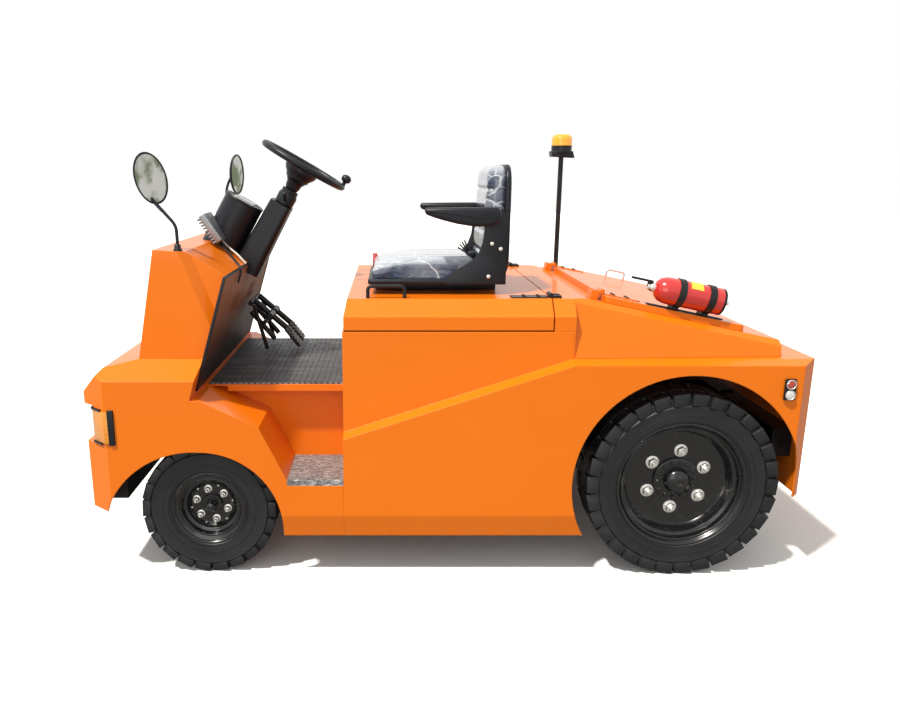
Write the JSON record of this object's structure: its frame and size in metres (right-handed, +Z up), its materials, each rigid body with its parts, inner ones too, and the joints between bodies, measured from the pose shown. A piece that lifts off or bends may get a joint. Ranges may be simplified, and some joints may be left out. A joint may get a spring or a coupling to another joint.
{
  "type": "baggage tug",
  "caption": "Compact electric airport baggage tug with open operator's bay, seat on a lifting battery lid, rear hood, beacon and tow couplings.",
  "frame": {"origin": "on the ground at mid length on the centre line", "axes": "+X towards the nose, +Y to the driver's left, +Z up"},
  "size_m": [2.8, 1.436, 1.747],
  "materials": {
    "body_paint": "gloss paint",
    "chassis_black": "satin paint",
    "battery_case": "satin paint",
    "tyre_rubber": "matte rubber",
    "rim_paint": "gloss paint",
    "floor_paint": "satin paint",
    "mat_rubber": "matte",
    "step_metal": "coarse grip surface",
    "black_plastic": "satin",
    "controller_metal": "cast, satin",
    "chrome_bar": "polished",
    "bottle_red": "gloss paint",
    "seat_vinyl": "smooth vinyl",
    "mirror_glass": "polished",
    "amber_lens": "translucent gloss",
    "pin_steel": "machined"
  },
  "bodies": {
    "chassis": {"battery": "battery_case", "beacon_lens": "amber_lens", "beacon_pole": "chassis_black", "controller": "controller_metal", "display_pod": "black_plastic", "floor_mat": "mat_rubber", "floor_plate": "floor_paint", "frame": "chassis_black", "front_axle": "chassis_black", "front_body": "body_paint", "front_jaw": "chassis_black", "hood_hinge_feet": "chassis_black", "kick_panel": "chassis_black", "lamp_bezel_left": "black_plastic", "lamp_bezel_right": "black_plastic", "lamp_lens_left": "amber_lens", "lamp_lens_right": "amber_lens", "lid_hinge_feet": "chassis_black", "mirror_glass_left": "mirror_glass", "mirror_glass_right": "mirror_glass", "mirror_left": "black_plastic", "mirror_right": "black_plastic", "nose_cowl": "body_paint", "pedal_brake": "mat_rubber", "pedal_drive": "mat_rubber", "rear_axle": "chassis_black", "rear_body": "body_paint", "rear_coupling": "chassis_black", "rear_deck": "body_paint", "steering_column": "black_plastic", "step_tread_left": "step_metal", "step_tread_right": "step_metal", "tail_lamp_left": "black_plastic", "tail_lamp_right": "black_plastic"},
    "lid": {"seat_lid": "body_paint", "lid_handle": "black_plastic", "lid_hinges": "chassis_black", "seat_base": "chassis_black", "seat_cushion": "seat_vinyl", "seat_backrest": "seat_vinyl", "armrest_left": "seat_vinyl", "armrest_right": "seat_vinyl"},
    "hood": {"rear_hood": "body_paint", "hood_handle": "chrome_bar", "hood_hinges": "chassis_black", "extinguisher": "bottle_red", "extinguisher_clamps": "chassis_black"},
    "steering_wheel": {"steering_wheel": "black_plastic"},
    "knuckle_left": {"knuckle_left": "chassis_black"},
    "knuckle_right": {"knuckle_right": "chassis_black"},
    "wheel_front_left": {"tyre_front_left": "tyre_rubber", "rim_front_left": "rim_paint"},
    "wheel_front_right": {"tyre_front_right": "tyre_rubber", "rim_front_right": "rim_paint"},
    "wheel_rear_left": {"tyre_rear_left": "tyre_rubber", "rim_rear_left": "rim_paint"},
    "wheel_rear_right": {"tyre_rear_right": "tyre_rubber", "rim_rear_right": "rim_paint"},
    "tow_pin": {"tow_pin": "pin_steel"}
  },
  "joints": [
    {"name": "lid_hinge", "type": "hinge", "parent": "chassis", "child": "lid", "pos_m": [-0.4, 0, 1.11], "axis": [0, -1, 0], "range_deg": [0, 60]},
    {"name": "hood_hinge", "type": "hinge", "parent": "chassis", "child": "hood", "pos_m": [-0.60906, 0, 1.11682], "axis": [0, 1, 0], "range_deg": [0, 50]},
    {"name": "left_steer", "type": "hinge", "parent": "chassis", "child": "knuckle_left", "pos_m": [0.932, 0.47, 0.268], "axis": [0, 0, 1], "range_deg": [-35, 35]},
    {"name": "right_steer", "type": "hinge", "parent": "chassis", "child": "knuckle_right", "pos_m": [0.932, -0.47, 0.268], "axis": [0, 0, 1], "range_deg": [-35, 35]},
    {"name": "steering_wheel_turn", "type": "hinge", "parent": "chassis", "child": "steering_wheel", "pos_m": [0.586, 0, 1.592], "axis": [-0.5, 0, 0.866], "range_deg": [-540, 540]},
    {"name": "front_left_spin", "type": "hinge", "parent": "knuckle_left", "child": "wheel_front_left", "pos_m": [0.932, 0.575, 0.268], "axis": [0, 1, 0], "continuous": true},
    {"name": "front_right_spin", "type": "hinge", "parent": "knuckle_right", "child": "wheel_front_right", "pos_m": [0.932, -0.575, 0.268], "axis": [0, 1, 0], "continuous": true},
    {"name": "rear_left_spin", "type": "hinge", "parent": "chassis", "child": "wheel_rear_left", "pos_m": [-0.93, 0.585, 0.375], "axis": [0, 1, 0], "continuous": true},
    {"name": "rear_right_spin", "type": "hinge", "parent": "chassis", "child": "wheel_rear_right", "pos_m": [-0.93, -0.585, 0.375], "axis": [0, 1, 0], "continuous": true},
    {"name": "tow_pin_lift", "type": "slide", "parent": "chassis", "child": "tow_pin", "axis": [0, 0, 1], "range_m": [0, 0.1]}
  ],
  "couplings": [
    {"joint": "right_steer", "follows": "left_steer", "ratio": 1},
    {"joint": "steering_wheel_turn", "follows": "left_steer", "ratio": 15.4}
  ]
}
